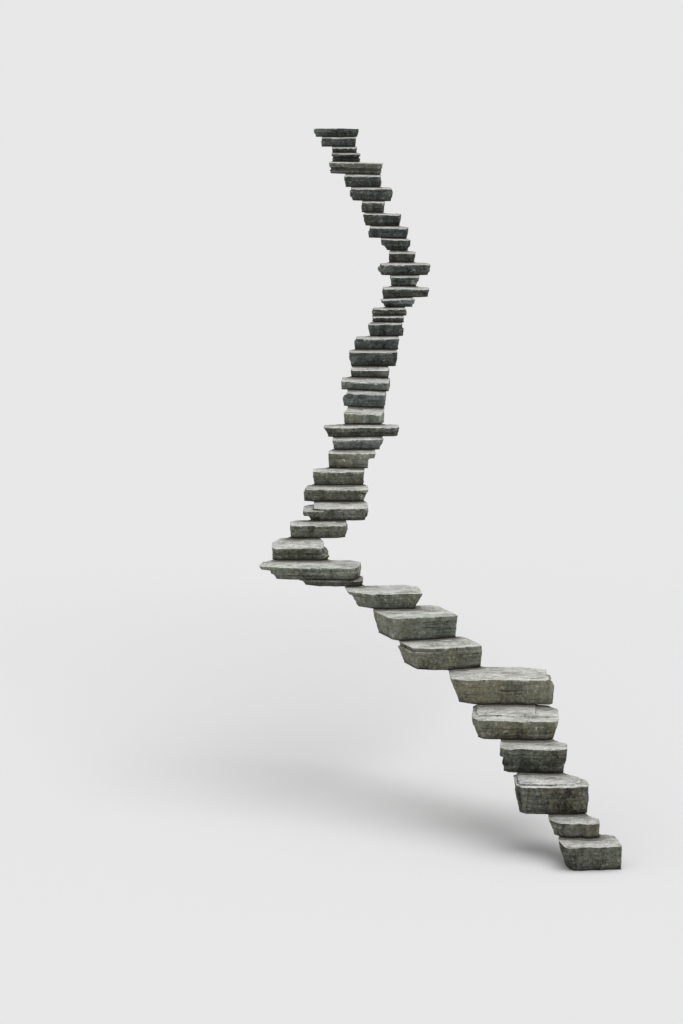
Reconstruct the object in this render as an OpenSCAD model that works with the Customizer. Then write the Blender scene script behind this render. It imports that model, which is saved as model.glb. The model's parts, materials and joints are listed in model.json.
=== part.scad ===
// Outdoor stone steps: a dry-laid flight of split flagstone blocks that climbs a bank.
// The foot flight rises to a broad landing slab, and the flight then turns and climbs on to the
// head stone. Every stone rests on the back of the stone below it.
// X runs across the flight, Y up the slope and Z up. The origin is the middle of the underside
// of the foot stone.

/* [Foot flight] */
// Mean rise of the foot flight, below the landing
foot_rise = 205; // [185:5:240]
// Mean going of the foot flight, from one front edge to the next
foot_going = 340; // [300:10:400]
// Mean width of the foot flight's stones
foot_width = 600; // [520:10:700]

/* [Landing] */
// Thickness of the landing slab
slab_rise = 120; // [90:5:160]
// Going over the landing slab to the next front edge
slab_going = 480; // [400:10:600]
// Width of the landing slab
slab_width = 950; // [850:10:1100]
// Thickness of the bedding stone below the landing slab
under_rise = 70; // [50:5:120]
// How far the bedding stone stands out in front of the landing slab
under_ledge = 30; // [10:5:60]
// Depth of the bedding stone from front to back
under_depth = 380; // [300:10:460]
// Width of the bedding stone below the landing slab
under_width = 620; // [560:10:700]

/* [Climbing flight] */
// Mean rise of the climbing flight, above the landing
climb_rise = 130; // [120:5:160]
// Mean going of the climbing flight
climb_going = 320; // [280:10:380]
// Mean width of the climbing flight's stones
climb_width = 530; // [480:10:620]

/* [Head flight] */
// Mean rise of the head flight, at the top
head_rise = 155; // [145:5:190]
// Mean going of the head flight
head_going = 360; // [300:10:400]
// Mean width of the head flight's stones
head_width = 500; // [460:10:580]

/* [Laying] */
// How far each stone reaches in under the stone above it
lap = 100; // [80:5:140]
// Bed joint between a stone and the one that it rests on
bed_gap = 0.3; // [0:0.1:0.8]
// Length of one unit in the setting-out and dressing tables below
unit = 10; // [9:0.5:11]

/* [Dressing] */
// Radius of the worn arris round each tread
arris = 8; // [5:1:14]
// How far the treads are worn down along their front edges
wear = 5; // [0:1:12]
// Width of the worn band behind each front edge
worn_band = 70; // [40:5:100]
// How far the split faces wander from a straight line
cleft = 13; // [0:1:18]
// How far the front edges bow out in the middle
bow = 10; // [0:1:20]
// Height of the sloping ledge between two bedding courses
ledge = 4; // [2:1:6]

/* [Hidden] */
// Points along each front edge between its corners
front_points = 6;
// Most of a top course that its arris and its wear take up
arris_share = 0.5;
wear_share = 0.3;
// How far up its round, and how far in, an arris bends
arris_bend = 0.3;
// Width of the worn band along the sides and back against that along the front
side_band = 0.6;
// Wander of a side against that of the front, and of one course against the whole face
side_wander = 0.4;
course_wander = 0.5;
// Least wear along a front edge, against the most
least_wear = 0.2;
// Where the middle of a tread and of a bed lies, against the stone's depth
middle_share = 0.6;
// Share of a stone's width that its back reaches further in where the next stone is turned
turn_share = 0.25;
// First seeds of the wander across, of the wander back, of the wear and of the courses
SEED_ACROSS = 100;
SEED_BACK = 200;
SEED_WEAR = 300;
SEED_COURSES = 1000;

// Mean rise, going and width of each flight, and of the landing's two stones
MEANS = [
    ["foot", foot_rise, foot_going, foot_width],
    ["under", under_rise, under_ledge, under_width],
    ["slab", slab_rise, slab_going, slab_width],
    ["climb", climb_rise, climb_going, climb_width],
    ["head", head_rise, head_going, head_width]
];

// Setting out of the stones from the foot up, in units and degrees, one row to a stone:
// flight, rise, going and width against the flight's means, sidestep from the stone below,
// turn of the front edge, and fall of the tread to the left and to the front
SETTING = [
    ["foot", -0.5, -9, -10, 0, 6, 0, 1],
    ["foot", -7, -9, -17, -13.5, -3, 0, 1.5],
    ["foot", 5.5, 4, 2, -15.5, 0, 0, 1],
    ["foot", 2, -4, -2, -13.5, -5, 0.5, 1.5],
    ["foot", -1, 11, 16, -13, -4, -0.5, 4],
    ["foot", 5.5, 6, 31.5, -8, 0, 0, 1.5],
    ["foot", 1, 3, 8, -45.5, 18, 0.5, 1],
    ["foot", 1.5, 4, 7, -20, 18, 0, 1],
    ["foot", -5, 1, 10, -34.5, 4, 0, 1.5],
    ["under", 0, 0, 0, -50.5, 0, 0, 0],
    ["slab", 0, 0, 0, -21.5, -5, 0, 0],
    ["climb", -0.5, 13, 3, -7.5, 1, 0, 4],
    ["climb", 3.5, -2, 5, 17, 0, 0, 1],
    ["climb", 0, 8, 12, 16.5, 0, 0, 3],
    ["climb", 2, -4, 13, 0, 0, 0, 2],
    ["climb", 2, -4, 0.5, 2.5, -1, -0.4, 1],
    ["climb", 3.5, -4, -4, 13.5, -1, 0, 1],
    ["climb", -1.5, -4, 0.5, 7.5, 3, 0.8, 0.5],
    ["climb", -2.5, -4, 27, 3, 0, 0, 1],
    ["climb", -0.5, 4, -12, 1, -6, -2, 6],
    ["climb", 5.5, -2, -6, 1, -4, -2, 3],
    ["climb", -2, 6, 0, 2, -3, -1.5, 3.5],
    ["climb", -2, 6, -9.5, 5.5, -2, 0, 2.5],
    ["climb", 5, 2, 2, 5, 0, 0, 1.5],
    ["climb", 1, 0, -1.5, 4, 0, 0, 1.5],
    ["climb", 2, -6, -11, 11, -2, -0.6, 1.5],
    ["climb", -6, -8, -15, 3, 0, 0, 1.5],
    ["climb", -4, -4, -11.5, 2, 0, 0, 1.5],
    ["climb", -3, -2, -13, 11, 3, 2, 1.5],
    ["climb", -1, 2, 4.5, 9.5, 0, -0.8, 3],
    ["climb", 0.5, 2, -17, 0, 0, 0, 2],
    ["climb", 1.5, 4, 11, 0, 0, 0, 3],
    ["head", -2, -2, -16, -2, -2, -1, 4],
    ["head", 1, 2, -12, -7, 0, -1.5, 2],
    ["head", -0.5, 0, 1, -9, -2, -1, 3],
    ["head", 1.5, 2, -2, -7.5, -3, -1.5, 3],
    ["head", 0, 2, -19, -11, -2, -1, 3.5],
    ["head", 3, 2, 6.5, -1, 0, 0, 4],
    ["head", 2, 2, -0.5, -11.5, -3, -1.5, 4],
    ["head", 3, -2, 22.5, -8, 0, -0.8, 3],
    ["head", -2.5, -8, -11, -13, 0, -0.5, 4],
    ["head", -6.5, -2, -15, -2, 0, 0, 4],
    ["head", -0.5, 0, -1, -8, 0, 0, 3.5],
    ["head", -1, 4, 13, -3, 0, 0, 0]
];
COUNT = len(SETTING);

// Corners knocked off each stone in plan, in units (across, back):
// left front, right front, right back and left back
CORNERS = [
    [[3, 5], [2, 2], [6, 5], [5, 8]],
    [[7, 10], [2, 4], [14, 18], [5, 5]],
    [[5, 8], [3, 6], [20, 24], [8, 8]],
    [[4, 6], [2, 3], [14, 18], [6, 6]],
    [[5, 9], [8, 5], [10, 12], [8, 8]],
    [[14, 9], [4, 6], [24, 10], [6, 12]],
    [[15, 9], [2, 3], [5, 8], [8, 6]],
    [[6, 9], [2, 2], [4, 6], [8, 10]],
    [[21, 15], [2, 2], [12, 8], [16, 10]],
    [[16, 10], [4, 8], [6, 6], [10, 10]],
    [[5, 4], [6, 11], [12, 14], [14, 20]],
    [[6, 9], [5, 4], [6, 18], [10, 24]],
    [[2, 3], [6, 5], [5, 6], [5, 5]],
    [[5, 3], [4, 5], [5, 8], [8, 8]],
    [[5, 4], [5, 3], [8, 6], [6, 5]],
    [[2, 3], [2, 2], [4, 5], [5, 6]],
    [[2, 3], [4, 4], [5, 5], [4, 5]],
    [[3, 4], [5, 3], [5, 6], [4, 4]],
    [[8, 6], [4, 4], [8, 6], [8, 6]],
    [[2, 2], [2, 2], [3, 4], [3, 3]],
    [[5, 4], [3, 2], [4, 4], [5, 5]],
    [[2, 2], [2, 2], [4, 4], [4, 5]],
    [[2, 3], [2, 3], [5, 5], [5, 4]],
    [[4, 3], [3, 3], [5, 5], [6, 6]],
    [[4, 4], [2, 2], [4, 4], [6, 5]],
    [[2, 2], [5, 6], [5, 5], [4, 4]],
    [[2, 2], [2, 2], [3, 4], [3, 3]],
    [[3, 2], [2, 3], [4, 4], [4, 4]],
    [[2, 2], [2, 2], [4, 5], [4, 4]],
    [[4, 3], [3, 3], [6, 5], [5, 5]],
    [[2, 2], [3, 3], [4, 4], [4, 5]],
    [[6, 4], [5, 5], [7, 6], [6, 6]],
    [[2, 2], [2, 2], [4, 4], [4, 4]],
    [[9, 5], [4, 5], [5, 6], [6, 6]],
    [[3, 3], [3, 3], [5, 5], [5, 4]],
    [[5, 4], [2, 2], [4, 5], [6, 6]],
    [[2, 2], [2, 2], [3, 4], [4, 3]],
    [[6, 4], [4, 3], [6, 6], [6, 5]],
    [[2, 3], [2, 3], [5, 4], [4, 5]],
    [[11, 6], [6, 4], [7, 7], [8, 7]],
    [[2, 2], [2, 2], [4, 4], [4, 4]],
    [[2, 2], [2, 2], [3, 3], [4, 4]],
    [[4, 3], [3, 3], [5, 5], [5, 4]],
    [[5, 4], [6, 4], [7, 6], [6, 6]]
];

// Bedding courses of each split stone from the tread down: share of the rise, and in units how
// far the course stands back at the front, left and right, at its top and at its bottom
COURSES = [
    [[0.55, [0, 0, 0], [0, 2, 0]], [0.45, [0.3, 2.5, 0.2], [0.6, 6, 0.5]]],
    [[1, [0, 0, 0], [0.8, 5, 0.5]]],
    [[0.06, [7, 3, 6], [7, 3, 6]], [0.56, [0, 0, 0], [0.4, 1.5, 0]], [0.38, [0.8, 2.5, 0.3], [1, 4, 1]]],
    [[0.42, [0, 0, 0], [0.5, 0, 0.5]], [0.25, [3, 4, 1], [4, 4.5, 1]], [0.33, [2, 2, 2], [3, 4, 3]]],
    [[0.07, [14, 4, 20], [14, 4, 20]], [0.4, [0, 0, 0], [0, 1, 1.5]], [0.53, [0.5, 2, 2], [1.5, 6, 5]]],
    [[0.24, [0, 0, 4], [0, 1, 4.5]], [0.76, [0.3, 1.5, 0], [1, 8, 1]]],
    [[0.2, [1, 3, 0], [1.2, 4, 0]], [0.8, [0, 1, 0], [0.5, 8, 1.5]]],
    [[0.25, [0, 0, 0], [0.4, 1, 0.5]], [0.75, [0.8, 1, 0.5], [1, 6, 2]]],
    [[0.3, [0, 0, 0], [0.5, 2, 1]], [0.7, [0.6, 5, 1.5], [1, 11, 7]]],
    [[0.4, [0, 0, 0], [0.5, 2, 0]], [0.6, [2.5, 4, 0], [2, 7, 1]]],
    [[0.36, [1.4, 0, 0.5], [1.8, 3, 0.5]], [0.28, [0, 11, 0], [0.3, 12, 0.3]], [0.36, [1, 14, 0.5], [1.6, 17, 1]]],
    [[0.42, [0, 0, 5], [0.5, 0.5, 5]], [0.23, [1.2, 0.5, 2], [1.2, 1, 1]], [0.35, [0.4, 0, 0], [0.8, 1, 2]]],
    [[0.35, [0, 0, 2], [0.3, 0, 1]], [0.65, [0.3, 0, 0], [1.2, 0.5, 3]]],
    [[0.22, [1, 10, 0.5], [1, 11, 1]], [0.5, [0, 0, 0], [0.5, 0, 1]], [0.28, [1.2, 6, 2], [2, 8, 4]]],
    [[0.3, [0, 3, 0], [0, 1, 0]], [0.7, [0.8, 0, 1], [1.2, 1, 5]]],
    [[0.35, [0, 0, 0], [0.3, 1, 0.5]], [0.65, [0.6, 0, 0.5], [1, 2, 1]]],
    [[0.42, [0, 0, 0], [1, 0, 1]], [0.58, [0.5, 0, 7], [1.5, 0.5, 7.5]]],
    [[0.55, [0, 0, 0], [0.4, 0, 2]], [0.45, [0.8, 1, 3], [1, 1, 5]]],
    [[0.5, [0, 0, 0], [0.4, 2, 0.5]], [0.5, [1.5, 3, 0.5], [1, 5, 2]]],
    [[1, [0, 0, 0], [1, 1, 0.5]]],
    [[0.4, [0, 4, 0], [0.4, 4.5, 0]], [0.6, [0.4, 0, 0], [0.8, 2, 1]]],
    [[1, [0, 0, 0], [0.8, 0.5, 0.5]]],
    [[1, [0, 0, 0], [1, 1, 1]]],
    [[0.6, [0, 0, 0], [0.3, 0, 0.5]], [0.4, [0.8, 1, 1], [3, 2, 2]]],
    [[0.3, [0, 2, 0], [0, 2, 0]], [0.7, [0.5, 0, 0.5], [1, 1, 1]]],
    [[0.4, [0, 0, 2], [0.3, 0, 2]], [0.6, [0.6, 0, 0], [1, 2, 1]]],
    [[1, [0, 0, 0], [0.6, 0.5, 0.5]]],
    [[0.45, [0.6, 1, 1], [0.8, 1, 1]], [0.55, [0, 0, 0], [0.6, 1, 1]]],
    [[0.6, [0, 0, 0], [0.5, 1, 1]], [0.4, [3, 3, 2], [4, 4.5, 3]]],
    [[0.4, [0, 1, 0], [0.4, 1, 0.5]], [0.6, [0.9, 0, 1], [1.2, 2, 2]]],
    [[0.5, [0, 0, 0], [0.4, 0, 1]], [0.5, [0.6, 0.5, 3], [1, 1, 4]]],
    [[0.3, [0, 3, 0], [0.5, 3, 0]], [0.4, [0.9, 0, 1], [1, 0, 1]], [0.3, [2, 2, 2], [2.4, 4, 4]]],
    [[0.5, [0, 0, 0], [0.4, 0.5, 0.5]], [0.5, [0.8, 0, 1], [1.2, 1, 2]]],
    [[0.62, [0, 0, 0], [0.5, 1, 1]], [0.38, [3, 4, 2], [5, 8, 4]]],
    [[0.4, [0, 2, 0], [0.3, 2, 0]], [0.6, [0.7, 0, 0.5], [1, 1, 2]]],
    [[0.3, [0, 0, 0], [0.4, 0, 0]], [0.4, [1, 1, 0], [1.1, 1, 1]], [0.3, [2.2, 2, 1], [2.5, 3, 2]]],
    [[0.4, [0.8, 1, 0], [1, 1, 0]], [0.6, [0, 0, 0.5], [0.6, 1, 1]]],
    [[0.25, [1.2, 2, 1], [1.4, 2, 1]], [0.45, [0, 0, 0], [0.4, 0, 1]], [0.3, [1.2, 2, 2], [1.5, 4, 3]]],
    [[0.5, [0, 0, 1], [0.3, 0, 1]], [0.5, [0.8, 1, 0], [1.2, 2, 1]]],
    [[0.5, [0, 0, 0], [0.6, 1, 0.5]], [0.2, [3, 3, 2], [3, 3, 2]], [0.3, [1.8, 1, 1], [2.2, 3, 3]]],
    [[0.4, [0, 0, 0], [0.4, 0, 0]], [0.2, [4, 2, 2], [4, 2, 2]], [0.4, [1, 1, 0], [1.4, 1, 1]]],
    [[1, [0, 0, 0], [0.8, 1, 1]]],
    [[0.4, [1, 1, 0], [1.2, 1, 0]], [0.6, [0, 0, 0], [0.6, 1, 1]]],
    [[0.55, [0, 0, 0], [0.4, 0, 1]], [0.45, [1.4, 2, 1], [1.8, 3, 3]]]
];

function flight(i) = SETTING[i][0];
function mean(i, column) = MEANS[search([flight(i)], MEANS)[0]][column];
function rise(i) = mean(i, 1) + SETTING[i][1] * unit;
function going(i) = mean(i, 2) + SETTING[i][2] * unit;
function width(i) = mean(i, 3) + SETTING[i][3] * unit;
function sidestep(i) = SETTING[i][4] * unit;
function turn(i) = SETTING[i][5];
function tilt(i) = SETTING[i][6];
function fall(i) = SETTING[i][7];
function corner(i, which) = CORNERS[i][which] * unit;

// Where the middle of each front edge comes, and the height of each tread there
FRONT_X = [for (i = 0, x = 0; i < COUNT; i = i + 1, x = x + (i < COUNT ? sidestep(i) : 0)) x];
FRONT_Y = [for (i = 0, y = -depth(0) / 2; i < COUNT; y = y + going(i), i = i + 1) y];
TREAD_Z = [for (i = 0, z = rise(0); i < COUNT; i = i + 1, z = z + (i < COUNT ? rise(i) : 0)) z];

// A stone reaches from its front edge to the lap under the stone above it
function depth(i) =
    i == COUNT - 1 ? going(i) + lap
    : flight(i) == "under" ? under_depth
    : going(i) * cos(turn(i)) - sidestep(i + 1) * sin(turn(i)) + lap
        + abs(sin(turn(i + 1) - turn(i))) * width(i) * turn_share;

// Height of a stone's tread plane, and of the bed that it is laid on
function tread_height(i, at) =
    TREAD_Z[i] + (at[0] - FRONT_X[i]) * tan(tilt(i)) + (at[1] - FRONT_Y[i]) * tan(fall(i));
function bed_height(i, at) = i == 0 ? 0 : tread_height(i - 1, at) + bed_gap;

// A point of the flight from its place across and back on one stone
function laid(i, across, back) =
    let (c = cos(turn(i)), s = sin(turn(i)))
    [FRONT_X[i] + across * c - back * s, FRONT_Y[i] + across * s + back * c];

// Outline of a stone in plan, anticlockwise from its left end. Each point is the place across
// and back from the middle of the front edge, and 1 where it is on the front
function outline(i) =
    let (w = width(i) / 2, d = depth(i), lf = corner(i, 0), rf = corner(i, 1), rb = corner(i, 2),
         lb = corner(i, 3), first = lf[0] - w, last = w - rf[0])
    concat(
        [[-w, lf[1], 0.5], [first, 0, 1]],
        [for (step = [1:front_points])
            let (f = step / (front_points + 1))
            [first + (last - first) * f, -bow * 4 * f * (1 - f), 1]],
        [[last, 0, 1], [w, rf[1], 0.5], [w, (rf[1] + d - rb[1]) / 2, 0], [w, d - rb[1], 0],
         [w - rb[0], d, 0], [(lb[0] - rb[0]) / 2, d + bow, 0], [lb[0] - w, d, 0],
         [-w, d - lb[1], 0], [-w, (lf[1] + d - lb[1]) / 2, 0]]
    );

// Radius of a stone's arris and the wear of its front edge, within its top course
function drawn(course) = [course[0], course[1], course[2], 0] * unit;
function top_course(i) = COURSES[i][0][0] * rise(i);
function arris_radius(i) = min(arris, top_course(i) * arris_share);
function edge_wear(i) = min(wear, top_course(i) * wear_share);

// Level rings of a stone from its bed up: height above the bed as a share of the rise, how far
// it is drawn in (front, left, right, back), number of its course, and 1 where it is worn
function rings(i) =
    let (courses = COURSES[i], n = len(courses), round = arris_radius(i), r = rise(i),
         cuts = [for (k = 0, s = 1; k <= n; s = s - (k < n ? courses[k][0] : 0), k = k + 1) s],
         in = [1, 1, 1, 1] * round, top = drawn(courses[0][1]))
    concat(
        [for (k = [n - 1:-1:0])
            each [[k == n - 1 ? 0 : cuts[k + 1], drawn(courses[k][2]), k, 0],
                  [k == 0 ? 1 - round / r : cuts[k] - ledge / r, drawn(courses[k][1]), k, k == 0 ? 1 : 0]]],
        [[1 - round * arris_bend / r, top + in * arris_bend, 0, 1], [1, top + in, 0, 1],
         [1, top + [1, side_band, side_band, side_band] * worn_band, 0, 0]]
    );

// The corners of one ring in the frame of the whole flight. A ring is the outline drawn in on
// all sides, with the wander of the stone's faces and of its courses
function ring_points(i, ring) =
    let (line = outline(i), n = len(line), w = width(i) / 2, d = depth(i), stand = ring[1],
         wander_x = rands(-1, 1, n, SEED_ACROSS + i), wander_y = rands(-1, 1, n, SEED_BACK + i),
         course_y = rands(-1, 1, n, SEED_COURSES + COUNT * ring[2] + i),
         worn = rands(least_wear, 1, n, SEED_WEAR + i))
    [for (k = [0:n - 1])
        let (p = line[k], swing = cleft * (p[2] > 0 ? 1 : side_wander),
             across = stand[1] - w + (p[0] + w) * (1 - (stand[1] + stand[2]) / (2 * w)),
             back = stand[0] + p[1] * (1 - (stand[0] + stand[3]) / d),
             place = laid(i, across + wander_x[k] * cleft * side_wander,
                             back + (wander_y[k] + course_y[k] * course_wander) * swing),
             low = bed_height(i, place),
             high = tread_height(i, place))
        [place[0], place[1], low + ring[0] * (high - low) - ring[3] * p[2] * worn[k] * edge_wear(i)]];

// One stone as a loft through its rings, closed by a fan over its tread and one under its bed
module stone(i) {
    levels = rings(i);
    n = len(outline(i));
    middle = laid(i, 0, depth(i) * middle_share);
    points = concat(
        [for (ring = levels) each ring_points(i, ring)],
        [[middle[0], middle[1], bed_height(i, middle)],
         [middle[0], middle[1], tread_height(i, middle)]]
    );
    bed_middle = len(points) - 2;
    tread_middle = len(points) - 1;
    last_ring = (len(levels) - 1) * n;
    sides = [for (r = [0:len(levels) - 2], k = [0:n - 1])
        let (a = r * n + k, b = r * n + (k + 1) % n)
        each [[a, b + n, b], [a, a + n, b + n]]];
    fans = [for (k = [0:n - 1])
        let (next = (k + 1) % n)
        each [[bed_middle, k, next], [tread_middle, last_ring + next, last_ring + k]]];
    polyhedron(points, concat(sides, fans), convexity = 6);
}

// The colours of the stone, and which stones are warmer or bluer than the rest
GREY = [0.56, 0.57, 0.55];
WARM = [0.58, 0.55, 0.47];
BLUE = [0.50, 0.54, 0.57];
WARM_STONES = ["step_06", "step_12", "step_13", "step_21", "step_31", "step_38"];
BLUE_STONES = ["step_03", "step_16", "step_19", "step_23", "step_27", "step_33"];
function listed(name, names) = len([for (n = names) if (n == name) n]) > 0;
function tone(name) = listed(name, WARM_STONES) ? WARM : listed(name, BLUE_STONES) ? BLUE : GREY;

function two_digits(number) = number < 10 ? str("0", number) : str(number);
NODES = [for (i = [0:COUNT - 1])
    flight(i) == "under" ? "landing_underslab"
    : flight(i) == "slab" ? "landing_slab"
    : str("step_", two_digits(flight(i) == "foot" ? i + 1 : i - 1))];

for (i = [0:COUNT - 1])
    color(tone(NODES[i])) stone(i);
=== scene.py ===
"""Outdoor stone steps: the split, weathered flagstone blocks of a dry-laid flight.

Each stone is cut from its solid, fractured along its bedding, worn by feet and rain, and gets
one of three flagstone finishes. Everything is in metres, in the frame of the solids.
"""
import json
import math
from types import SimpleNamespace

import bpy
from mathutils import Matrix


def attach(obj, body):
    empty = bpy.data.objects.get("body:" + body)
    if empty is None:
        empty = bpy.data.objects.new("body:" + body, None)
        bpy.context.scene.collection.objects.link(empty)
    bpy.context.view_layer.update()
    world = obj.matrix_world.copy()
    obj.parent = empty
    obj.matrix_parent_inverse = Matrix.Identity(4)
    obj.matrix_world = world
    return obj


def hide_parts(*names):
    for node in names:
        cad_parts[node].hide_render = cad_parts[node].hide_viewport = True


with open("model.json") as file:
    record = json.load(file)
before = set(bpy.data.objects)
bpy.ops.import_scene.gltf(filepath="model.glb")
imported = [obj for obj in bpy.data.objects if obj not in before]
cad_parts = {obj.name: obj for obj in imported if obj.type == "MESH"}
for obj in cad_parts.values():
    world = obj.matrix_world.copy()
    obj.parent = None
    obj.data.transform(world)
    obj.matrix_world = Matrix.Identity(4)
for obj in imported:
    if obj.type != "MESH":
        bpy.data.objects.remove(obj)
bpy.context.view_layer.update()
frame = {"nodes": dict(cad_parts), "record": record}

bl_info = {
    "name": "Outdoor stone steps",
    "version": (1, 0, 0),
    "blender": (4, 5, 0),
    "location": "3D View > Sidebar > Stone steps",
    "description": "Dresses a flight of split flagstone blocks and sets its stage",
    "category": "Object",
}

# The stones in the order in which they climb
FOOT_FLIGHT = [f"step_{number:02d}" for number in range(1, 10)]
LANDING = ["landing_underslab", "landing_slab"]
CLIMBING_FLIGHT = [f"step_{number:02d}" for number in range(10, 31)]
HEAD_FLIGHT = [f"step_{number:02d}" for number in range(31, 43)]
FLIGHT = FOOT_FLIGHT + LANDING + CLIMBING_FLIGHT + HEAD_FLIGHT
SLOT_OF = {part["node"]: part["material_slot"] for part in frame["record"]["subparts"]}

# How pale each riser is, and how pale one is that has no tone of its own
TONES = {"step_01": -0.8, "step_03": -0.9, "step_04": -1.0, "step_06": 1.3, "step_07": 0.8,
         "step_08": 1.3, "step_09": 1.2, "landing_slab": 1.0, "step_10": 0.7, "step_11": -0.1,
         "step_15": 2.7, "step_16": 1.1, "step_18": 3.4, "step_19": 1.5, "step_20": 1.8,
         "step_23": 0.2, "step_27": 3.4, "step_29": 1.1, "step_30": 0.8, "step_31": 0.2,
         "step_34": -0.2, "step_35": 0.3, "step_38": 2.4, "step_39": 0.2}
PLAIN_TONE = 0.5

# What the modifier marks on a stone's surface, for its finish to read
MARKS = ("tread", "arris", "hollow", "joint", "grit", "front", "lift", "tone", "seed")

# The middle of a noise and of a random colour
MIDDLE = 0.5

# White, in red, green, blue and opacity
WHITE = (1.0, 1.0, 1.0, 1.0)


class StoneShape(bpy.types.PropertyGroup):
    """How the stones split and wear."""

    grain: bpy.props.FloatProperty(
        name="Grain", description="Size of the facets that a stone's surface is cut in",
        default=0.0062, min=0.005, max=0.03, unit="LENGTH")
    kept: bpy.props.FloatProperty(
        name="Kept facets", description="Share of the facets that stays after the flat ones merge",
        default=0.70, min=0.1, max=1.0, subtype="FACTOR")
    facet: bpy.props.FloatProperty(
        name="Facets", description="How deep the split faces are broken into flat facets",
        default=0.0060, min=0.0, max=0.02, unit="LENGTH")
    course: bpy.props.FloatProperty(
        name="Courses", description="Height of a bedding course that shows in the risers",
        default=0.05, min=0.02, max=0.12, unit="LENGTH")
    setback: bpy.props.FloatProperty(
        name="Setback", description="How far a soft bedding course stands back",
        default=0.006, min=0.0, max=0.03, unit="LENGTH")
    chips: bpy.props.FloatProperty(
        name="Chips", description="Depth of the chips along the arrises",
        default=0.012, min=0.0, max=0.03, unit="LENGTH")
    flakes: bpy.props.FloatProperty(
        name="Flakes", description="Thickness of the layers that have flaked off the treads",
        default=0.007, min=0.0, max=0.02, unit="LENGTH")
    roughness: bpy.props.FloatProperty(
        name="Unevenness", description="Height of the hollows and bumps all over",
        default=0.005, min=0.0, max=0.02, unit="LENGTH")


class StoneFinish(bpy.types.PropertyGroup):
    """Colours of the stones."""

    # Riser colours: partly the stone's own, partly painted shade, darker than the real faces so
    # that the upright faces look shaded
    grey: bpy.props.FloatVectorProperty(
        name="Grey riser", description="Face of the grey flagstone", subtype="COLOR",
        size=4, min=0.0, max=1.0, default=(0.129, 0.132, 0.098, 1.0))
    warm: bpy.props.FloatVectorProperty(
        name="Warm riser", description="Face of the warm flagstone", subtype="COLOR",
        size=4, min=0.0, max=1.0, default=(0.142, 0.142, 0.104, 1.0))
    blue: bpy.props.FloatVectorProperty(
        name="Blue riser", description="Face of the blue flagstone", subtype="COLOR",
        size=4, min=0.0, max=1.0, default=(0.122, 0.131, 0.110, 1.0))
    tread: bpy.props.FloatVectorProperty(
        name="Tread", description="Worn stone underfoot", subtype="COLOR",
        size=4, min=0.0, max=1.0, default=(0.470, 0.475, 0.445, 1.0))
    # Palest stone: bleached by wear, and painted light along the front edges and arrises
    bleached_and_lit: bpy.props.FloatVectorProperty(
        name="Bleached", description="Palest stone, along the front edges", subtype="COLOR",
        size=4, min=0.0, max=1.0, default=(0.690, 0.695, 0.655, 1.0))
    stain: bpy.props.FloatVectorProperty(
        name="Stain", description="Olive-brown water stain", subtype="COLOR",
        size=4, min=0.0, max=1.0, default=(0.135, 0.115, 0.062, 1.0))
    # Dark soil in the joints and hollows, which also serves as painted shade there
    soil_and_shade: bpy.props.FloatVectorProperty(
        name="Soil", description="Damp dirt in the joints", subtype="COLOR",
        size=4, min=0.0, max=1.0, default=(0.030, 0.028, 0.023, 1.0))
    crust: bpy.props.FloatVectorProperty(
        name="Crust", description="Pale crust in small patches", subtype="COLOR",
        size=4, min=0.0, max=1.0, default=(0.40, 0.42, 0.35, 1.0))
    grit: bpy.props.FloatVectorProperty(
        name="Grit", description="Pale dry dirt at the back of the treads", subtype="COLOR",
        size=4, min=0.0, max=1.0, default=(0.205, 0.188, 0.155, 1.0))
    # Tint that makes the risers higher up the flight darker and bluer
    height_tint: bpy.props.FloatVectorProperty(
        name="Damp", description="Tint of the risers high up the flight, against those below",
        subtype="COLOR", size=4, min=0.0, max=1.0, default=(0.50, 0.555, 0.64, 1.0))


class StageSettings(bpy.types.PropertyGroup):
    """Floor, light and camera."""

    floor: bpy.props.FloatVectorProperty(
        name="Floor", description="Pale studio floor", subtype="COLOR",
        size=4, min=0.0, max=1.0, default=(0.80, 0.80, 0.80, 1.0))
    backdrop: bpy.props.FloatVectorProperty(
        name="Backdrop", description="Pale backdrop that the camera sees", subtype="COLOR",
        size=4, min=0.0, max=1.0, default=(0.805, 0.805, 0.805, 1.0))
    around: bpy.props.FloatProperty(
        name="All round", description="Strength of the light from all round",
        default=0.55, min=0.0)
    sun: bpy.props.FloatProperty(
        name="Sun", description="Strength of the soft lamp", default=1.5, min=0.0)
    sun_turn: bpy.props.FloatVectorProperty(
        name="Sun turn", description="Turn of the soft lamp away from straight down",
        subtype="EULER", size=3, default=(math.radians(-6), math.radians(16), 0.0))
    sun_spread: bpy.props.FloatProperty(
        name="Sun spread", description="Angle over which the soft lamp spreads",
        subtype="ANGLE", default=math.radians(60))
    camera: bpy.props.FloatVectorProperty(
        name="Camera", description="Place of the camera",
        subtype="TRANSLATION", unit="LENGTH", size=3, default=(-2.04, -19.18, 4.99))
    tilt: bpy.props.FloatProperty(
        name="Tilt", description="Turn of the camera up from straight down",
        subtype="ANGLE", default=math.radians(83.77))
    lens: bpy.props.FloatProperty(
        name="Lens", description="Focal length of the camera", default=84.375, unit="CAMERA")


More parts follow.
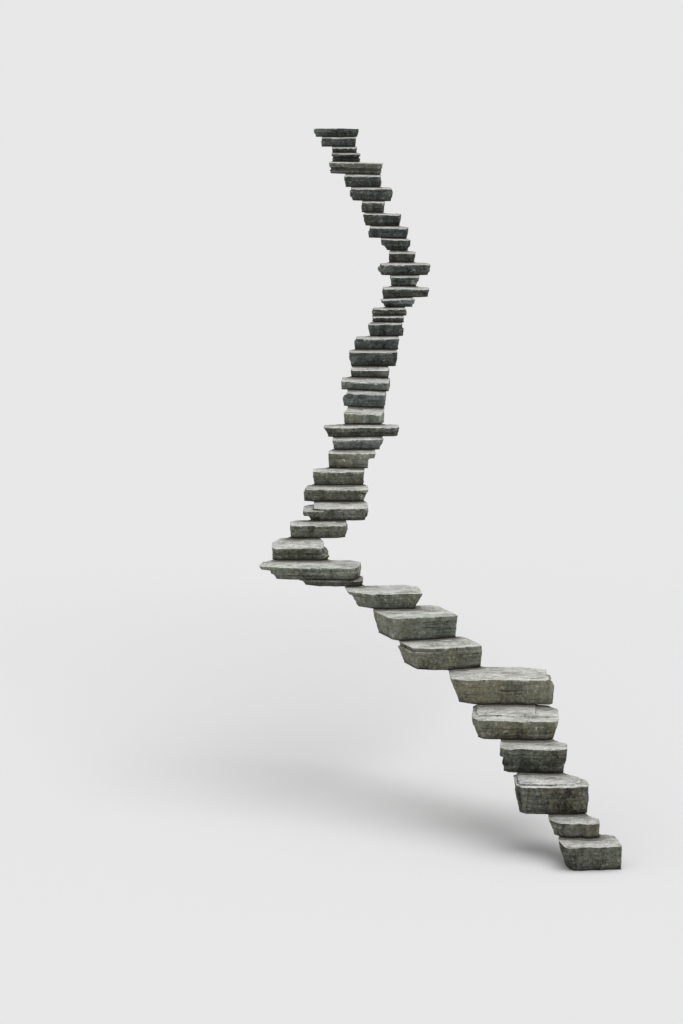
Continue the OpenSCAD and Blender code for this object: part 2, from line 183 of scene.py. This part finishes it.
class Socket:
    """A node's output. Python's operators on it add Math nodes, or Vector Math on a vector."""

    def __init__(self, tree, output=None):
        self.tree = tree
        self.output = output
        self.wide = output is not None and output.type in ("VECTOR", "RGBA")

    def make(self, kind, ends=None, output=0, **settings):
        """Adds a node: its settings first, then the values or links of its inputs."""
        node = self.tree.nodes.new(kind)
        for name, value in settings.items():
            setattr(node, name, value)
        for key, value in (ends or {}).items():
            socket = self.pick(node.inputs, key)
            if isinstance(value, Socket):
                value.feed(socket)
            else:
                socket.default_value = value
        return Socket(self.tree, self.pick(node.outputs, output) if node.outputs else None)

    @staticmethod
    def pick(sockets, key):
        """The shown socket of that name, or at that place."""
        shown = [socket for socket in sockets if socket.enabled]
        return shown[key] if isinstance(key, int) else next(s for s in shown if s.name == key)

    def feed(self, socket):
        """Links this output to a node's input."""
        self.tree.links.new(self.output, socket)

    def math(self, operation, *operands):
        """A Math node on the operands, or a Vector Math node where one of them is a vector."""
        values = dict(enumerate(operands))
        if any(isinstance(v, Socket) and v.wide for v in operands):
            return self.make("ShaderNodeVectorMath", values, operation=operation)
        return self.make("ShaderNodeMath", values, operation=operation)

    def __add__(self, other):
        return self.math("ADD", self, other)

    __radd__ = __add__

    def __sub__(self, other):
        return self.math("SUBTRACT", self, other)

    def __rsub__(self, other):
        return self.math("SUBTRACT", other, self)

    def __mul__(self, other):
        if self.wide and not isinstance(other, tuple) and not getattr(other, "wide", False):
            return self.make("ShaderNodeVectorMath", {0: self, 1: other}, operation="SCALE")
        return self.math("MULTIPLY", self, other)

    __rmul__ = __mul__

    def dot(self, other):
        """Dot product with another vector."""
        return self.math("DOT_PRODUCT", self, other)

    def axis(self, name):
        """One coordinate of a vector."""
        return self.make("ShaderNodeSeparateXYZ", {"Vector": self}, output=name)

    def steps(self, step):
        """A vector of this value times each of three numbers."""
        ends = {axis: self * size for axis, size in zip("XYZ", step)}
        return self.make("ShaderNodeCombineXYZ", ends)

    def most(self, other):
        """The larger of two values."""
        return self.math("MAXIMUM", self, other)

    def least(self, other):
        """The smaller of two values."""
        return self.math("MINIMUM", self, other)

    def share(self):
        """This value, held between 0 and 1."""
        return self.most(0.0).least(1.0)

    def ease(self, start, end):
        """0 before the start and 1 after the end, smooth between; the start may be the larger."""
        if start > end:
            return 1 - self.ease(end, start)
        return self.make("ShaderNodeMapRange", {"Value": self, "From Min": start, "From Max": end},
                         interpolation_type="SMOOTHSTEP")

    def noise(self, scale, detail=4.0, roughness=0.5, output=0):
        """Fractal noise from 0 to 1 at this place, or a noise colour."""
        ends = {"Vector": self, "Scale": scale, "Detail": detail, "Roughness": roughness}
        return self.make("ShaderNodeTexNoise", ends, output=output)

    def cells(self, scale, output, feature="F1"):
        """A Voronoi pattern at this place."""
        return self.make("ShaderNodeTexVoronoi", {"Vector": self, "Scale": scale},
                         output=output, feature=feature)

    def bands(self, scale, output, feature="F1"):
        """A Voronoi pattern along one line, at this value."""
        return self.make("ShaderNodeTexVoronoi", {"W": self, "Scale": scale},
                         output=output, feature=feature, voronoi_dimensions="1D")

    def blurred(self, turns):
        """This vector, smoothed over the mesh."""
        return self.make("GeometryNodeBlurAttribute", {"Value": self, "Iterations": turns},
                         data_type="FLOAT_VECTOR")

    def distance(self):
        """How far the surface lies from this object's faces."""
        shape = self.make("GeometryNodeObjectInfo", {"Object": self}, output="Geometry")
        return self.make("GeometryNodeProximity", {0: shape}, output="Distance",
                         target_element="FACES")

    def blend(self, first, second):
        """Goes from the first colour to the second as this value goes from 0 to 1."""
        return self.make("ShaderNodeMix", {"Factor": self, "A": first, "B": second},
                         data_type="RGBA", clamp_factor=True)

    def tinted(self, other):
        """This colour multiplied by another."""
        return self.make("ShaderNodeMix", {"Factor": 1.0, "A": self, "B": other},
                         data_type="RGBA", blend_type="MULTIPLY")


# Where a tread, a bed and a side start and are full, by upward turn and by depth or height
TREAD_TURN = (0.6, 0.85)
TREAD_DEPTH = (0.06, 0.03)
BED_TURN = (-0.6, -0.85)
BED_HEIGHT = (0.03, 0.01)
SIDE_TURN = (0.75, 0.45)

# Distances from a neighbour at which an effect on the surface starts and is full
COVERED = (0.03, 0.004)
JOINT_REACH = (0.022, 0.0)
GRIT_REACH = (0.10, 0.0)
FRONT_REACH = (0.04, 0.30)

# Patterns that shape a stone: how many to the metre, then detail and roughness
ROUGH = (7.0, 6.0, 0.6)
FINE = (42.0, 3.0, 0.6)
SMALL_BITES = (13.0, 2.0, 0.5)
LARGE_BITES = (4.5, 2.0, 0.5)
LAYERS = (2.4, 3.0, 0.45)
WAVE = (1.6, 2.0)
SOFT = (2.6, 3.0)

# The values of those patterns at which their effect starts and is full
SMALL_BITE_RANGE = (0.50, 0.66)
LARGE_BITE_RANGE = (0.50, 0.62)
SOFT_RANGE = (0.42, 0.58)

# Facets: how many to the metre and how deep, the wander of their edges, and their tilt
FACET_SIZES = ((4.0, 1.0), (13.0, 0.5))
FACET_WANDER = 0.30
WANDER_SCALE = 1.5
WANDER_DETAIL = 2.0
FACET_TILT = 1.6

# Share of the facets that feet have worn off the treads, and depth of the finest unevenness
TREAD_WEAR = 0.7
FINE_DEPTH = 0.0016

# Bedding courses: their waves, their soft patches, and the grooves between them
WAVE_HEIGHT = 0.05
SOFT_STRETCH = (1.0, 1.0, 0.4)
GROOVE_WIDTH = (0.10, 0.0)
GROOVE_SHARE = 0.4

# Layers of a tread: levels in their pattern, the last with none flaked off, and the most lost
LAYER_COUNT = 9.0
LAYERS_KEPT = 3.0
LAYERS_LOST = 2.0

# Turns of smoothing that show how far a crest, a sharp edge and a broad edge stand out
CREST_TURNS = 6
SHARP_TURNS = 3
BROAD_TURNS = 14

# How far a crest stands out where chips start and where they are full
CREST = (0.0010, 0.0045)

# How much a sharp and a broad edge or hollow add to their marks, for each metre out or in
ARRIS_WEIGHTS = (260.0, 70.0)
HOLLOW_WEIGHTS = (190.0, 45.0)

# Steps along x, y and z by which each stone's patterns are moved on from the last stone's
SHAPE_STEP = (7.31, 3.17, 1.73)
FINISH_STEP = (1.31, 0.77, 0.43)


def fractured(local):
    """Depth of the flat facets that a split face is broken into."""
    depth = 0.0
    for scale, share in FACET_SIZES:
        wander = local.noise(scale * WANDER_SCALE, WANDER_DETAIL, output="Color")
        bent = local + wander * (FACET_WANDER / scale)
        tilt = bent.cells(scale, "Color") - (MIDDLE, MIDDLE, MIDDLE)
        away = bent - bent.cells(scale, "Position")
        depth = away.dot(tilt) * (scale * share * FACET_TILT) + MIDDLE * share + depth
    return depth


def bedded(local, drop, seed, course):
    """How far the bedding courses stand back, soft ones most, and the grooves between them."""
    height = local.noise(*WAVE) * WAVE_HEIGHT + drop + seed
    soft = height.bands(1.0 / course, "Color").axis("X")
    groove = height.bands(1.0 / course, "Distance", "DISTANCE_TO_EDGE").ease(*GROOVE_WIDTH)
    patch = (local * SOFT_STRETCH).noise(*SOFT).ease(*SOFT_RANGE)
    return soft * patch + groove * patch * GROOVE_SHARE


def chipped(local, place, normal):
    """Depth of the bites out of the arrises."""
    crest = (place - place.blurred(CREST_TURNS)).dot(normal).ease(*CREST)
    small = local.noise(*SMALL_BITES).ease(*SMALL_BITE_RANGE)
    large = local.noise(*LARGE_BITES).ease(*LARGE_BITE_RANGE)
    return (small + large) * crest


def flaked(local):
    """Share of the loose layers that has come off, in whole layers."""
    layers = (local * (1.0, 1.0, 0.0)).noise(*LAYERS) * LAYER_COUNT
    lost = (layers.math("FLOOR", layers) - LAYERS_KEPT).most(0.0).least(LAYERS_LOST)
    return lost * (1.0 / LAYERS_LOST)


def split_stone(shape):
    """The modifier that fractures, beds and wears a stone, and marks where it did so."""
    tree = bpy.data.node_groups.new("split_stone", "GeometryNodeTree")
    kinds = {"Stone": "Geometry", "Above": "Object", "Below": "Object", "Tread": "Vector",
             "Bed": "Vector", "Seed": "Float", "Tone": "Float"}
    for name, kind in kinds.items():
        tree.interface.new_socket(name=name, in_out="INPUT", socket_type=f"NodeSocket{kind}")
    tree.interface.new_socket(name="Stone", in_out="OUTPUT", socket_type="NodeSocketGeometry")
    inputs = tree.nodes.new("NodeGroupInput").outputs
    given = {name: Socket(tree, inputs[name]) for name in kinds}
    made = Socket(tree)
    seed = given["Seed"]
    place = made.make("GeometryNodeInputPosition")
    normal = made.make("GeometryNodeInputNormal", output="Normal")
    local = place + seed.steps(SHAPE_STEP)

    # Depth below the tread's plane, height over the bed's, and distance from each neighbour
    level = place * (1.0, 1.0, 0.0) + (0.0, 0.0, 1.0)
    drop = level.dot(given["Tread"]) - place.axis("Z")
    lift = place.axis("Z") - level.dot(given["Bed"])
    above = given["Above"].distance()
    below = given["Below"].distance()

    # The parts of the surface, and how free each is to wear
    upward = normal.axis("Z")
    top = upward.ease(*TREAD_TURN) * drop.ease(*TREAD_DEPTH)
    bed = upward.ease(*BED_TURN) * lift.ease(*BED_HEIGHT)
    side = upward.math("ABSOLUTE", upward).ease(*SIDE_TURN)
    free = (1 - bed) * (1 - above.ease(*COVERED) * top)

    inward = (fractured(local) * (1 - top * TREAD_WEAR) * shape.facet
              + bedded(local, drop, seed, shape.course) * side * shape.setback
              + chipped(local, place, normal) * shape.chips
              + flaked(local) * top * shape.flakes
              + local.noise(*ROUGH) * shape.roughness + local.noise(*FINE) * FINE_DEPTH)
    moved = {"Geometry": given["Stone"], "Offset": normal * (inward.most(0.0) * free * -1.0)}
    stone = made.make("GeometryNodeSetPosition", moved)

    sharp = (place - place.blurred(SHARP_TURNS)).dot(normal)
    broad = (place - place.blurred(BROAD_TURNS)).dot(normal)
    marks = {
        "tread": top,
        # Arrises: the finish pales them by wear and painted highlight
        "arris": (sharp * ARRIS_WEIGHTS[0] + broad * ARRIS_WEIGHTS[1]).share(),
        # Hollows and the joints with neighbours: the finish darkens them with dirt and painted
        # shade
        "hollow": (sharp * -HOLLOW_WEIGHTS[0] - broad * HOLLOW_WEIGHTS[1]).share(),
        "joint": above.least(below).ease(*JOINT_REACH),
        "grit": top * above.ease(*GRIT_REACH),
        # Front of a tread, away from the stone above: paler by wear and painted light, its back in
        # painted shade
        "front": top * above.ease(*FRONT_REACH),
        "lift": lift,
        "tone": given["Tone"],
        "seed": seed,
    }
    for name in MARKS:
        stone = made.make("GeometryNodeStoreNamedAttribute",
                          {"Geometry": stone, "Name": name, "Value": marks[name]},
                          data_type="FLOAT", domain="POINT")
    stone.feed(tree.nodes.new("NodeGroupOutput").inputs[0])
    return tree


# Patterns of a finish: how many to the metre, then detail and roughness where they are given
PATTERNS = {"cloudy": (2.1, 6.0, 0.6), "mottle": (17.0, 5.0, 0.65), "blotch": (38.0, 3.0, 0.6),
            "speckle": (75.0, 3.0, 0.7), "grain": (210.0, 2.0, 0.7)}
WARP = (5.0, 4.0)
TINT_PATCHES = (1.9, 4.0, 0.6)
STAINS = (1.35, 4.0, 0.55)
CRUSTS = (9.0, 6.0, 0.7)
WISPS = (4.2, 6.0, 0.68)
SEAM_PATCHES = (3.3, 3.0)
CRACKS = 2.6
CRACK_PATCHES = 2.4
PITS = 52.0

# How many of a pattern fit in a metre along x, y and z, or just how it is stretched
STREAK_COUNT = (21.0, 21.0, 1.6)
LINE_COUNT = (1.6, 1.6, 62.0)
DRIFT_COUNT = (5.5, 5.5, 3.5)
WISP_STRETCH = (1.0, 2.6, 1.0)
STAIN_STRETCH = (1.0, 1.0, 0.5)

# Scale, detail and roughness of the patterns that a count to the metre already sizes
STREAKY = (1.0, 5.0, 0.65)
DRIFTING = (1.0, 5.0, 0.6)

# How far the warp moves the streaks and lines, and the cracks
WAVINESS = 0.045
CRACK_WANDER = 0.22

# The values of a pattern at which its effect starts and is full
DRIFT_RANGE = (0.36, 0.64)
SEAM_RANGE = (0.41, 0.36)
SEAM_PATCH_RANGE = (0.42, 0.55)
CRACK_WIDTH = (0.010, 0.002)
CRACK_PATCH_RANGE = (0.53, 0.60)
PIT_SIZE = (0.26, 0.12)
PIT_RANGE = (0.50, 0.62)
WISP_RANGE = (0.47, 0.60)
TINT_RANGE = (0.40, 0.62)
STAIN_RANGE = (0.50, 0.62)
STAIN_STREAKS = (0.34, 0.60)
FLECK_RANGE = (0.57, 0.66)
FLECK_PATCHES = (0.45, 0.60)
CRUST_RANGE = (0.60, 0.66)
CRUST_SPECKLE = (0.35, 0.50)
DIRT_RANGE = (0.95, 1.25)

# Heights on a riser, or over the floor for the darker, bluer tint high up the flight, at which an
# effect starts and is full
# Painted shade: a riser darker at its foot and paler up to this height
PAINTED_SHADE_RISE = (0.0, 0.16)
# Soil along a riser's foot, with painted shade there, up to this height
SPLASH_AND_SHADE_HEIGHT = (0.045, 0.0)
TINT_HEIGHT = (1.8, 4.6)

# How light the stone is, its darkest, and how much patterns, tone and the painted shade by height
# change that
LIGHTNESS = 0.97
DARKEST = 0.16
LIGHT_ALL_OVER = {"cloudy": 0.40, "mottle": 0.42, "speckle": 0.50, "grain": 0.26}
LIGHT_ON_RISER = {"mottle": 1.30, "blotch": 2.00, "speckle": 1.20, "drift": 0.64}
LIGHT_ON_TREAD = {"mottle": 0.60, "blotch": 0.90, "speckle": 0.50}
LIGHT_BY_TONE = 0.34
PAINTED_SHADE_DEPTH = 0.24

# How strongly streaks and lines show on a riser, each as a start and what the drift adds
STREAK_STRENGTH = (2.10, -1.70)
LINE_STRENGTH = (0.40, 1.30)

# How much each layer covers of the colour below it, and the most that grime with its painted shade
# covers
STAIN_COVER = 0.60
FLECK_COVER = 0.20
CRUST_COVER = 0.50
EDGE_AND_HIGHLIGHT_COVER = 0.60
DIRT_COVER = 0.85
WISP_COVER = 0.60
GRIME_AND_SHADE_LIMIT = 0.92

# Amounts that vary with a pattern, each as a start and what the pattern adds
WORN = (0.80, 0.35)
# Front of a tread paler by wear and painted light, the back in painted shade of the stone above
FRONT_PALE_AND_LIT = (0.20, 1.30)
# Arrises paler by wear and painted highlight
EDGE_PALE_AND_LIT = (0.25, 0.75)
EDGE_ON_TREAD = (0.35, 2.0)
# Soil and painted shade along a riser's foot
SPLASH_AND_SHADE = (0.1, 0.7)

# How much dark grime lies in each mark or pattern, the hollows and joints with painted shade as
# well as dirt, and how much dry dirt the patterns gather
GRIME_AND_SHADE = {"hollow": 0.55, "joint": 0.80, "seams": 0.50, "cracks": 0.32, "pits": 0.40}
DIRT = {"mottle": 0.75, "speckle": 0.45}

# Tint of the cooler patches of a riser, in red, green and blue
COOL = (0.95, 1.01, 1.10)

# Roughness of the driest stone, what wear, edges and speckle take off it, and its gloss
DRY = 0.94
SMOOTHED = {"worn": 0.16, "edge": 0.06}
SPECKLED = 0.20
SHEEN = 0.35

# Relief too fine for the mesh, by pattern: all over and on a riser, and its full height
RELIEF = {"mottle": 0.55, "speckle": 0.55, "grain": 0.18, "cracks": -0.35, "pits": -0.4}
RISER_RELIEF = {"lines": 0.60, "streak": 0.15, "seams": -0.5}
RELIEF_HEIGHT = 0.009


def weighed(look, weights):
    """The named patterns or marks, each times its weight, added up."""
    parts = [getattr(look, name) * weight for name, weight in weights.items()]
    return sum(parts[1:], parts[0])


def swing(look, weights):
    """The same, but for patterns about their middle, so that the stone's mean stays."""
    return weighed(look, weights) - sum(weights.values()) * MIDDLE


def varied(amount, pattern):
    """An amount that varies with a pattern: its start, and what the pattern adds."""
    start, added = amount
    return pattern * added + start


def patterned(place, marks):
    """Everything a finish is mixed from: the marks on the surface, and the patterns there."""
    look = SimpleNamespace(**marks)
    look.upright = 1 - look.tread
    for name, pattern in PATTERNS.items():
        setattr(look, name, place.noise(*pattern))
    warp = place.noise(*WARP, output="Color")
    wavy = place + warp * WAVINESS
    look.streak = (wavy * STREAK_COUNT).noise(*STREAKY)
    look.lines = (wavy * LINE_COUNT).noise(*STREAKY)
    look.drift = (place * DRIFT_COUNT).noise(*DRIFTING).ease(*DRIFT_RANGE)

    look.seams = (look.lines.ease(*SEAM_RANGE)
                  * place.noise(*SEAM_PATCHES).ease(*SEAM_PATCH_RANGE) * look.upright)
    bent = place + warp * CRACK_WANDER
    look.cracks = (bent.cells(CRACKS, "Distance", "DISTANCE_TO_EDGE").ease(*CRACK_WIDTH)
                   * place.noise(CRACK_PATCHES).ease(*CRACK_PATCH_RANGE))
    look.pits = place.cells(PITS, "Distance").ease(*PIT_SIZE) * look.mottle.ease(*PIT_RANGE)

    wisps = ((place * WISP_STRETCH).noise(*WISPS).ease(*WISP_RANGE) * look.tread
             * (1 - look.arris))
    look.worn = (look.tread * varied(WORN, look.mottle)).least(1.0) - wisps * WISP_COVER
    # Arrises paler: rubbed by wear, and a painted highlight along them
    look.edge = (look.arris * varied(EDGE_PALE_AND_LIT, look.mottle)
                 * varied(EDGE_ON_TREAD, look.tread)).least(1.0)
    return look


def shaded(look):
    """How light the stone is, as a grey, with painted shade towards each riser's foot."""
    riser = (look.tone * LIGHT_BY_TONE
             + (look.streak - MIDDLE) * varied(STREAK_STRENGTH, look.drift)
             + (look.lines - MIDDLE) * varied(LINE_STRENGTH, look.drift)
             + swing(look, LIGHT_ON_RISER)
             # Painted shade: darker at a riser's foot, paler towards its top
             + (look.lift.ease(*PAINTED_SHADE_RISE) - MIDDLE) * PAINTED_SHADE_DEPTH)
    light = (swing(look, LIGHT_ALL_OVER) + LIGHTNESS
             + riser * look.upright + swing(look, LIGHT_ON_TREAD) * look.tread).most(DARKEST)
    return light.make("ShaderNodeCombineColor", {"Red": light, "Green": light, "Blue": light})


def riser_colour(place, ground, look, riser, finish):
    """Colour of a riser: cool patches, water stains, pale flecks, and a darker, bluer tint high up
    the flight.
    """
    cool = tuple(part * tint for part, tint in zip(riser[:3], COOL)) + (1.0,)
    colour = place.noise(*TINT_PATCHES).ease(*TINT_RANGE).blend(riser, cool)
    stained = ((place * STAIN_STRETCH).noise(*STAINS).ease(*STAIN_RANGE)
               * look.streak.ease(*STAIN_STREAKS) * look.upright)
    colour = (stained * STAIN_COVER).blend(colour, finish.stain)
    flecks = look.blotch.ease(*FLECK_RANGE) * look.mottle.ease(*FLECK_PATCHES)
    colour = (flecks * FLECK_COVER).blend(colour, finish.crust)
    # Risers higher up the flight tinted darker and bluer
    return colour.tinted(ground.axis("Z").ease(*TINT_HEIGHT).blend(WHITE, finish.height_tint))


def stone_colour(place, ground, look, riser, finish):
    """Colour all over: treads and edges pale with wear and painted light over the risers' colour,
    crusts, and dirt with painted shade.
    """
    # Front of each tread paler by wear and painted light, its back in painted shade of the stone
    # above
    pale = (look.front * varied(FRONT_PALE_AND_LIT, look.cloudy)).least(1.0)
    # Pale treads over the risers' darker colour: wear on the treads, and painted shade on the
    # upright faces
    colour = look.worn.blend(riser_colour(place, ground, look, riser, finish),
                             pale.blend(finish.tread, finish.bleached_and_lit))
    crust = place.noise(*CRUSTS).ease(*CRUST_RANGE) * look.speckle.ease(*CRUST_SPECKLE)
    colour = (crust * CRUST_COVER).blend(colour, finish.crust)
    # Arrises paled by wear and by a painted highlight
    colour = (look.edge * EDGE_AND_HIGHLIGHT_COVER).blend(colour, finish.bleached_and_lit)
    dirty = (look.grit + weighed(look, DIRT)).ease(*DIRT_RANGE)
    colour = (dirty * DIRT_COVER).blend(colour, finish.grit).tinted(shaded(look))
    # Soil splashed along a riser's foot, and painted shade there where it meets the stone below
    splash_and_shade = look.lift.ease(*SPLASH_AND_SHADE_HEIGHT) * look.upright * varied(SPLASH_AND_SHADE, look.mottle)
    # Dark grime: dirt in marks, hollows and joints, and painted shade in the hollows and joints
    grime_and_shade = weighed(look, GRIME_AND_SHADE) + splash_and_shade
    return grime_and_shade.least(GRIME_AND_SHADE_LIMIT).blend(colour, finish.soil_and_shade)


def flagstone(name, riser, finish):
    """One flagstone finish: streaked, bedded risers darkened with painted shade, worn treads with
    painted light at their fronts and edges, stains, crusts, and dirt with painted shade in hollows
    and joints.
    """
    material = bpy.data.materials.new(name)
    material.use_nodes = True
    tree = material.node_tree
    shader = tree.nodes["Principled BSDF"]
    made = Socket(tree)
    marks = {key: made.make("ShaderNodeAttribute", output="Fac", attribute_name=key)
             for key in MARKS}
    ground = made.make("ShaderNodeTexCoord", output="Object")
    place = ground + marks["seed"].steps(FINISH_STEP)
    look = patterned(place, marks)

    stone_colour(place, ground, look, riser, finish).feed(shader.inputs["Base Color"])
    dull = DRY - weighed(look, SMOOTHED) - (look.speckle - MIDDLE) * SPECKLED
    dull.feed(shader.inputs["Roughness"])
    shader.inputs["Specular IOR Level"].default_value = SHEEN

    height = weighed(look, RELIEF) + weighed(look, RISER_RELIEF) * look.upright
    bump = {"Strength": 1.0, "Distance": RELIEF_HEIGHT, "Height": height}
    height.make("ShaderNodeBump", bump).feed(shader.inputs["Normal"])
    return material


# Corners of a solid that lie this close are one
WELD = 0.00005

FAR_GRAIN = 1.35

# How squarely the face of a tread or bed points up or down
LEVEL_FACE = 0.98


def only(*objects):
    """Selects just these objects, the last of them active."""
    bpy.ops.object.select_all(action="DESELECT")
    for thing in objects:
        thing.select_set(True)
    bpy.context.view_layer.objects.active = objects[-1]


def plane_of(mesh, side):
    """The plane z = a x + b y + c of a stone's tread (side 1) or of its bed (side -1)."""
    widest = max((face for face in mesh.polygons if face.normal.z * side > LEVEL_FACE),
                 key=lambda face: face.area)
    a, b, c = widest.normal
    return -a / c, -b / c, widest.center.dot(widest.normal) / c


def joined_copy(node):
    """A copy of a stone's solid, with its loose triangles joined into one closed skin."""
    stone = bpy.data.objects.new(f"{node}_stone", frame["nodes"][node].data.copy())
    bpy.context.scene.collection.objects.link(stone)
    stone.data.materials.clear()
    only(stone)
    bpy.ops.object.mode_set(mode="EDIT")
    bpy.ops.mesh.select_all(action="SELECT")
    bpy.ops.mesh.remove_doubles(threshold=WELD)
    bpy.ops.mesh.normals_make_consistent(inside=False)
    bpy.ops.object.mode_set(mode="OBJECT")
    return stone


def wear_stone(stone, node, shape):
    """Cuts a stone's skin into fine facets, splits and wears it, and merges its flat facets."""
    index = FLIGHT.index(node)
    above = FLIGHT[index + 1] if index + 1 < len(FLIGHT) else FLIGHT[index - 1]
    below = FLIGHT[index - 1] if index else FLIGHT[1]
    values = {"Above": frame["nodes"][above], "Below": frame["nodes"][below],
              "Tread": plane_of(stone.data, 1), "Bed": plane_of(stone.data, -1),
              "Seed": float(index + 1), "Tone": TONES.get(node, PLAIN_TONE)}

    bpy.ops.object.modifier_add(type="REMESH")
    cut = stone.modifiers[-1]
    cut.mode = "VOXEL"
    far = 1.0 if node in FOOT_FLIGHT + LANDING else FAR_GRAIN
    cut.voxel_size = shape.grain * far * 1
    bpy.ops.object.modifier_apply(modifier=cut.name)

    group = bpy.data.node_groups.get("split_stone") or split_stone(shape)
    split = stone.modifiers.new("split", "NODES")
    split.node_group = group
    for name, value in values.items():
        split[group.interface.items_tree[name].identifier] = value
    bpy.ops.object.modifier_apply(modifier=split.name)

    bpy.ops.object.modifier_add(type="DECIMATE")
    merge = stone.modifiers[-1]
    merge.ratio = shape.kept
    bpy.ops.object.modifier_apply(modifier=merge.name)
    bpy.ops.object.shade_smooth()


def dress_stone(node, shape):
    """Shapes one stone from its solid, and gives it its finish."""
    stone = joined_copy(node)
    wear_stone(stone, node, shape)
    stone.data.materials.append(bpy.data.materials[f"weathered_{SLOT_OF[node]}"])
    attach(stone, "root")
    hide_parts(node)


def dress_stones(nodes, context):
    """Dresses the stones of one stretch of the flight."""
    for node in nodes:
        dress_stone(node, context.scene.stone_shape)
    return {"FINISHED"}


# Side of the floor, and how far it lies below the foot stone
FLOOR_SIZE = 1600.0
FLOOR_GAP = 0.001

# How far the camera sees, and the width of its sensor in millimetres
SIGHT = 2000.0
SENSOR = 36.0


def lay_floor(stage):
    """Lays the pale floor, just below the foot stone."""
    bpy.ops.object.select_all(action="DESELECT")
    bpy.ops.mesh.primitive_plane_add(size=FLOOR_SIZE, location=(0.0, 0.0, -FLOOR_GAP))
    floor = bpy.context.object
    floor.name = "studio_floor"
    material = bpy.data.materials.new("studio_floor")
    material.use_nodes = True
    plain = material.node_tree.nodes["Principled BSDF"]
    plain.inputs["Base Color"].default_value = stage.floor
    plain.inputs["Roughness"].default_value = 1.0
    plain.inputs["Specular IOR Level"].default_value = 0.0
    floor.data.materials.append(material)


def set_light(scene, stage):
    """Lights the stage from all round and by a soft lamp; the camera sees the pale backdrop."""
    world = bpy.data.worlds.new("studio")
    scene.world = world
    world.use_nodes = True
    world.node_tree.nodes.clear()
    made = Socket(world.node_tree)
    camera, gloss, glass = (made.make("ShaderNodeLightPath", output=f"Is {ray} Ray")
                            for ray in ("Camera", "Glossy", "Transmission"))
    seen = camera.most(gloss).most(glass)
    around = made.make("ShaderNodeBackground", {"Color": WHITE, "Strength": stage.around})
    behind = made.make("ShaderNodeBackground", {"Color": tuple(stage.backdrop), "Strength": 1.0})
    mixed = made.make("ShaderNodeMixShader", {0: seen, 1: around, 2: behind})
    made.make("ShaderNodeOutputWorld", {"Surface": mixed})

    bpy.ops.object.light_add(type="SUN", rotation=tuple(stage.sun_turn))
    lamp = bpy.context.object
    lamp.name = "soft_sun"
    lamp.data.energy = stage.sun
    lamp.data.angle = stage.sun_spread


def set_camera(scene, stage):
    """Stands the camera in front of the foot stone, looking up the flight."""
    bpy.ops.object.camera_add(location=tuple(stage.camera), rotation=(stage.tilt, 0.0, 0.0))
    camera = bpy.context.object
    camera.data.lens = stage.lens
    camera.data.sensor_width = SENSOR
    camera.data.clip_end = SIGHT
    scene.camera = camera
    scene.view_settings.view_transform = "Standard"


class STEPS_OT_finishes(bpy.types.Operator):
    """Makes the three flagstone finishes"""

    bl_idname = "steps.finishes"
    bl_label = "Flagstone finishes"

    def execute(self, context):
        finish = context.scene.stone_finish
        for slot, colour in (("grey_flagstone", finish.grey), ("warm_flagstone", finish.warm),
                             ("blue_flagstone", finish.blue)):
            flagstone(f"weathered_{slot}", tuple(colour), finish)
        return {"FINISHED"}


class STEPS_OT_foot_flight(bpy.types.Operator):
    """Dresses the stones from the foot up to the landing"""

    bl_idname = "steps.foot_flight"
    bl_label = "Foot flight"

    def execute(self, context):
        return dress_stones(FOOT_FLIGHT, context)


class STEPS_OT_landing(bpy.types.Operator):
    """Dresses the landing slab and the bedding stone below it"""

    bl_idname = "steps.landing"
    bl_label = "Landing"

    def execute(self, context):
        return dress_stones(LANDING, context)


class STEPS_OT_climbing_flight(bpy.types.Operator):
    """Dresses the stones that climb on from the landing"""

    bl_idname = "steps.climbing_flight"
    bl_label = "Climbing flight"

    def execute(self, context):
        return dress_stones(CLIMBING_FLIGHT, context)


class STEPS_OT_head_flight(bpy.types.Operator):
    """Dresses the stones of the last stretch up to the head stone"""

    bl_idname = "steps.head_flight"
    bl_label = "Head flight"

    def execute(self, context):
        return dress_stones(HEAD_FLIGHT, context)


class STEPS_OT_stage(bpy.types.Operator):
    """Sets the pale floor, the soft light and the camera"""

    bl_idname = "steps.stage"
    bl_label = "Stage"

    def execute(self, context):
        stage = context.scene.steps_stage
        lay_floor(stage)
        set_light(context.scene, stage)
        set_camera(context.scene, stage)
        return {"FINISHED"}


class STEPS_PT_panel(bpy.types.Panel):
    """Lists the steps' pieces"""

    bl_idname = "STEPS_PT_panel"
    bl_label = "Stone steps"
    bl_space_type = "VIEW_3D"
    bl_region_type = "UI"
    bl_category = "Stone steps"

    def draw(self, context):
        for group in (context.scene.stone_shape, context.scene.stone_finish,
                      context.scene.steps_stage):
            for name in group.__annotations__:
                self.layout.prop(group, name)
        for operator in OPERATORS:
            self.layout.operator(operator.bl_idname)


OPERATORS = (STEPS_OT_finishes, STEPS_OT_foot_flight, STEPS_OT_landing,
             STEPS_OT_climbing_flight, STEPS_OT_head_flight, STEPS_OT_stage)
CLASSES = (StoneShape, StoneFinish, StageSettings, *OPERATORS, STEPS_PT_panel)


def register():
    """Adds the classes and the scene's settings."""
    for item in CLASSES:
        bpy.utils.register_class(item)
    bpy.types.Scene.stone_shape = bpy.props.PointerProperty(type=StoneShape)
    bpy.types.Scene.stone_finish = bpy.props.PointerProperty(type=StoneFinish)
    bpy.types.Scene.steps_stage = bpy.props.PointerProperty(type=StageSettings)


def unregister():
    """Takes the scene's settings and the classes away."""
    del bpy.types.Scene.steps_stage
    del bpy.types.Scene.stone_finish
    del bpy.types.Scene.stone_shape
    for item in reversed(CLASSES):
        bpy.utils.unregister_class(item)


def main():
    """Dresses the whole flight."""
    register()
    bpy.ops.steps.finishes()
    bpy.ops.steps.foot_flight()
    bpy.ops.steps.landing()
    bpy.ops.steps.climbing_flight()
    bpy.ops.steps.head_flight()
    bpy.ops.steps.stage()


if __name__ == "__main__":
    main()
